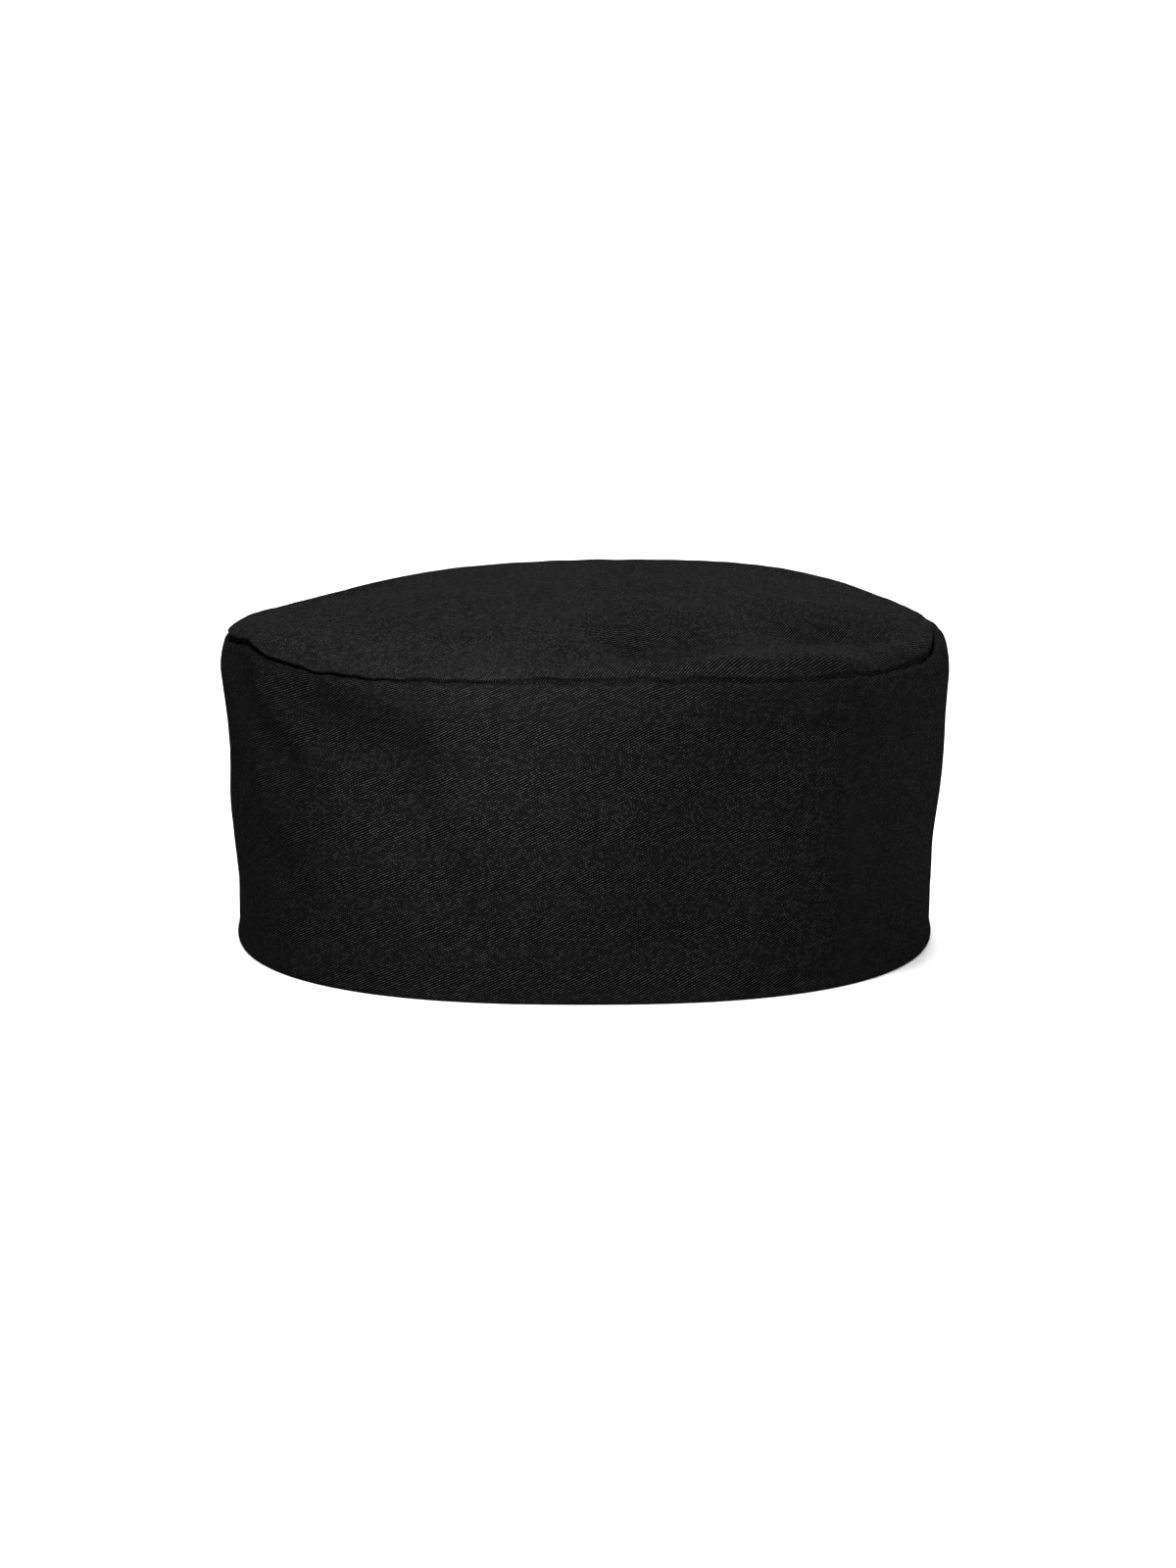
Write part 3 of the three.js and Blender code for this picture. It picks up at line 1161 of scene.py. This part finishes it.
@dataclass
class CrownPanel(ClothPiece):
    """The slack, puffed top panel, turned down at the crown seam. Lengths are millimetres."""

    rise: float = 6.4
    top_spacing: float = 1.8
    allowance_spacing: float = 2
    edge_steps: int = 22

    @property
    def edge_radius(self) -> float:
        """Radius of the round crown's edge."""
        return self.block.sizes.seam_radius - self.block.sizes.seam_clearance

    def height_at(self, radius: float) -> float:
        """Finds the height of the crown's outer face.

        Args:
            radius: A radius of the round cap.

        Returns:
            The height there.
        """
        near_edge = max(0.0, (radius - (self.edge_radius - self.block.puff_width)) / self.block.puff_width)
        puff = self.block.puff_height * math.sqrt(max(0.0, 1 - near_edge * near_edge))
        return self.block.sizes.groove_height + puff + self.rise * (1 - (radius / self.edge_radius) ** 2)

    def section(self) -> Section:
        """Draws the crown's section, from the middle of its top to its edge and back along its underside.

        Returns:
            The section, open at the cap's axis.
        """
        sizes = self.block.sizes
        edge = self.edge_radius
        puff_start = edge - self.block.puff_width
        count = math.ceil(puff_start / self.top_spacing)
        radii = [puff_start * i / count for i in range(count)]
        for i in range(self.edge_steps + 1):
            radii.append(puff_start + self.block.puff_width * math.sin(math.pi / 2 * i / self.edge_steps))
        top = [(radius, self.height_at(radius)) for radius in radii]
        line = Section()
        for point in top:
            line.step_to(*point)
        allowance_corners = ((edge, sizes.allowance_end), (edge - sizes.cloth, sizes.allowance_end))
        line.go_by(self.allowance_spacing, *allowance_corners)
        for i in reversed(range(len(top))):
            ahead = top[min(i + 1, len(top) - 1)]
            behind = top[max(i - 1, 0)]
            slope = Vector((ahead[0] - behind[0], ahead[1] - behind[1])).normalized()
            if i == 0:
                slope = Vector((1, 0))
            if i == len(top) - 1:
                slope = Vector((0, -1))
            line.step_to(top[i][0] + slope.y * sizes.cloth, top[i][1] - slope.x * sizes.cloth)
        return line

    def cloth_place(self, turn: Array, walked: Array) -> Array:
        """Lays the panel flat as a disc, whose radius is the way from its middle.

        Args:
            turn: Turns round the cap in radians, from the middle of the back.
            walked: Distances along the section.

        Returns:
            One row of right and back in millimetres for each point.
        """
        whole = self.section().walked
        way = np.minimum(walked, whole - walked)
        theta = turn + math.pi / 2
        return np.stack([way * np.cos(theta), way * np.sin(theta)], axis=1)


@dataclass(frozen=True)
class SoftBox:
    """A rectangular area light that faces the cap. Lengths are metres."""

    name: str
    azimuth: float
    elevation: float
    distance: float
    width: float
    height: float
    power: float

    def place(self, aim: Vector) -> None:
        """Puts the light in the scene.

        Args:
            aim: The point that it faces, in metres.
        """
        lamp = bpy.data.lights.new(self.name, "AREA")
        lamp.shape = "RECTANGLE"
        lamp.size = self.width
        lamp.size_y = self.height
        lamp.energy = self.power
        light = put_in_scene(self.name, lamp)
        light.visible_camera = False
        light.location = aim + direction(self.azimuth, self.elevation) * self.distance
        light.rotation_euler = (aim - light.location).to_track_quat("-Z", "Y").to_euler()


def direction(azimuth: float, elevation: float) -> Vector:
    """Finds the way from the cap to a place round it.

    Args:
        azimuth: Degrees round the cap: 0 is the front and 90 the right.
        elevation: Degrees above level.

    Returns:
        A vector of length 1.
    """
    turn = math.radians(azimuth)
    rise = math.radians(elevation)
    return Vector((math.sin(turn) * math.cos(rise), -math.cos(turn) * math.cos(rise), math.sin(rise)))


@dataclass(frozen=True)
class FarLight:
    """A wide, soft light from far away, which reaches the cap and the whole floor evenly."""

    name: str
    azimuth: float
    elevation: float
    spread: float
    power: float

    def place(self) -> None:
        """Puts the light in the scene, turned towards the cap."""
        lamp = bpy.data.lights.new(self.name, "SUN")
        lamp.energy = self.power
        lamp.angle = math.radians(self.spread)
        light = put_in_scene(self.name, lamp)
        light.rotation_euler = (-direction(self.azimuth, self.elevation)).to_track_quat("-Z", "Y").to_euler()


@dataclass(frozen=True)
class Studio:
    """A plain pale floor, soft light all round, and the camera at the photograph's angle.

    Lengths are metres here, and the camera's lens and sensor millimetres.
    """

    floor_radius: float = 30
    floor_facets: int = 96
    floor_colour: tuple[float, float, float] = (0.68, 0.68, 0.68)
    floor_roughness: float = 0.9
    floor_shine: float = 0.1
    sky_colour: tuple[float, float, float] = (1.0, 1.0, 1.0)
    sky_strength: float = 0.4
    camera_elevation: float = 11.2
    camera_distance: float = 1.4
    camera_lens: float = 121
    camera_sensor: float = 36
    camera_reach: float = 100
    aim: tuple[float, float, float] = (0.00097, 0, 0.0371)
    lights: tuple[SoftBox, ...] = (
        SoftBox("key_light", -10, 22, 0.2, 0.05, 0.14, 0.34),
        SoftBox("side_light", 95, 12, 1.2, 0.6, 0.6, 9),
    )
    far_lights: tuple[FarLight, ...] = (
        FarLight("top_light", -28, 72, 40, 4.2),
        FarLight("back_light", -177, 30, 25, 8.5),
    )

    def build(self) -> None:
        """Builds the floor, the light and the camera."""
        self.lay_floor()
        self.fill_sky()
        for light in self.lights:
            light.place(Vector(self.aim))
        for light in self.far_lights:
            light.place()
        self.set_camera()

    def lay_floor(self) -> None:
        """Lays a round floor at the hem's height."""
        disc = bmesh.new()
        bmesh.ops.create_circle(disc, cap_ends=True, segments=self.floor_facets, radius=self.floor_radius)
        mesh = bpy.data.meshes.new("floor")
        disc.to_mesh(mesh)
        disc.free()
        material = bpy.data.materials.new("pale_floor")
        material.use_nodes = True
        shader = material.node_tree.nodes["Principled BSDF"]
        shader.inputs["Base Color"].default_value = (*self.floor_colour, 1)
        shader.inputs["Roughness"].default_value = self.floor_roughness
        shader.inputs["Specular IOR Level"].default_value = self.floor_shine
        mesh.materials.append(material)
        floor = put_in_scene("floor", mesh)

    def fill_sky(self) -> None:
        """Fills the surroundings with even light."""
        world = bpy.data.worlds.new("soft_sky")
        world.use_nodes = True
        sky = world.node_tree.nodes["Background"]
        sky.inputs["Color"].default_value = (*self.sky_colour, 1)
        sky.inputs["Strength"].default_value = self.sky_strength
        bpy.context.scene.world = world

    def set_camera(self) -> None:
        """Sets the camera at the photograph's angle and distance."""
        lens = bpy.data.cameras.new("camera")
        lens.sensor_width = self.camera_sensor
        lens.lens = self.camera_lens
        lens.clip_end = self.camera_reach
        camera = put_in_scene("camera", lens)
        aim = Vector(self.aim)
        camera.location = aim + direction(0, self.camera_elevation) * self.camera_distance
        camera.rotation_euler = (aim - camera.location).to_track_quat("-Z", "Y").to_euler()
        bpy.context.scene.camera = camera


def main() -> None:
    """Builds the studio and the cap's two cloths, and reports each piece."""
    logging.basicConfig(level=logging.INFO, format="%(message)s")
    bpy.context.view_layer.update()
    bpy.context.scene.view_settings.view_transform = "Standard"
    Studio().build()
    sizes = CapSizes()
    block = HatBlock(sizes)
    band_twill = Twill("band_twill", (0.0168, 0.0168, 0.0171), Grain.ROUND_THE_BAND)
    # Painted light: the crown is the same black twill as the band, coloured lighter to stand in for the
    # stronger light that falls on its top.
    crown_twill = Twill("crown_twill", (0.0212, 0.0212, 0.0215), Grain.ACROSS_THE_CROWN)
    band = SideBand("side_band", "band", "band_twill", block, band_twill).build()
    crown = CrownPanel("crown_top", "crown_panel", "crown_twill", block, crown_twill).build()
    for piece in (band, crown):
        log.info("%s: %d faces", piece.name, len(piece.data.polygons))


if __name__ == "__main__":
    main()
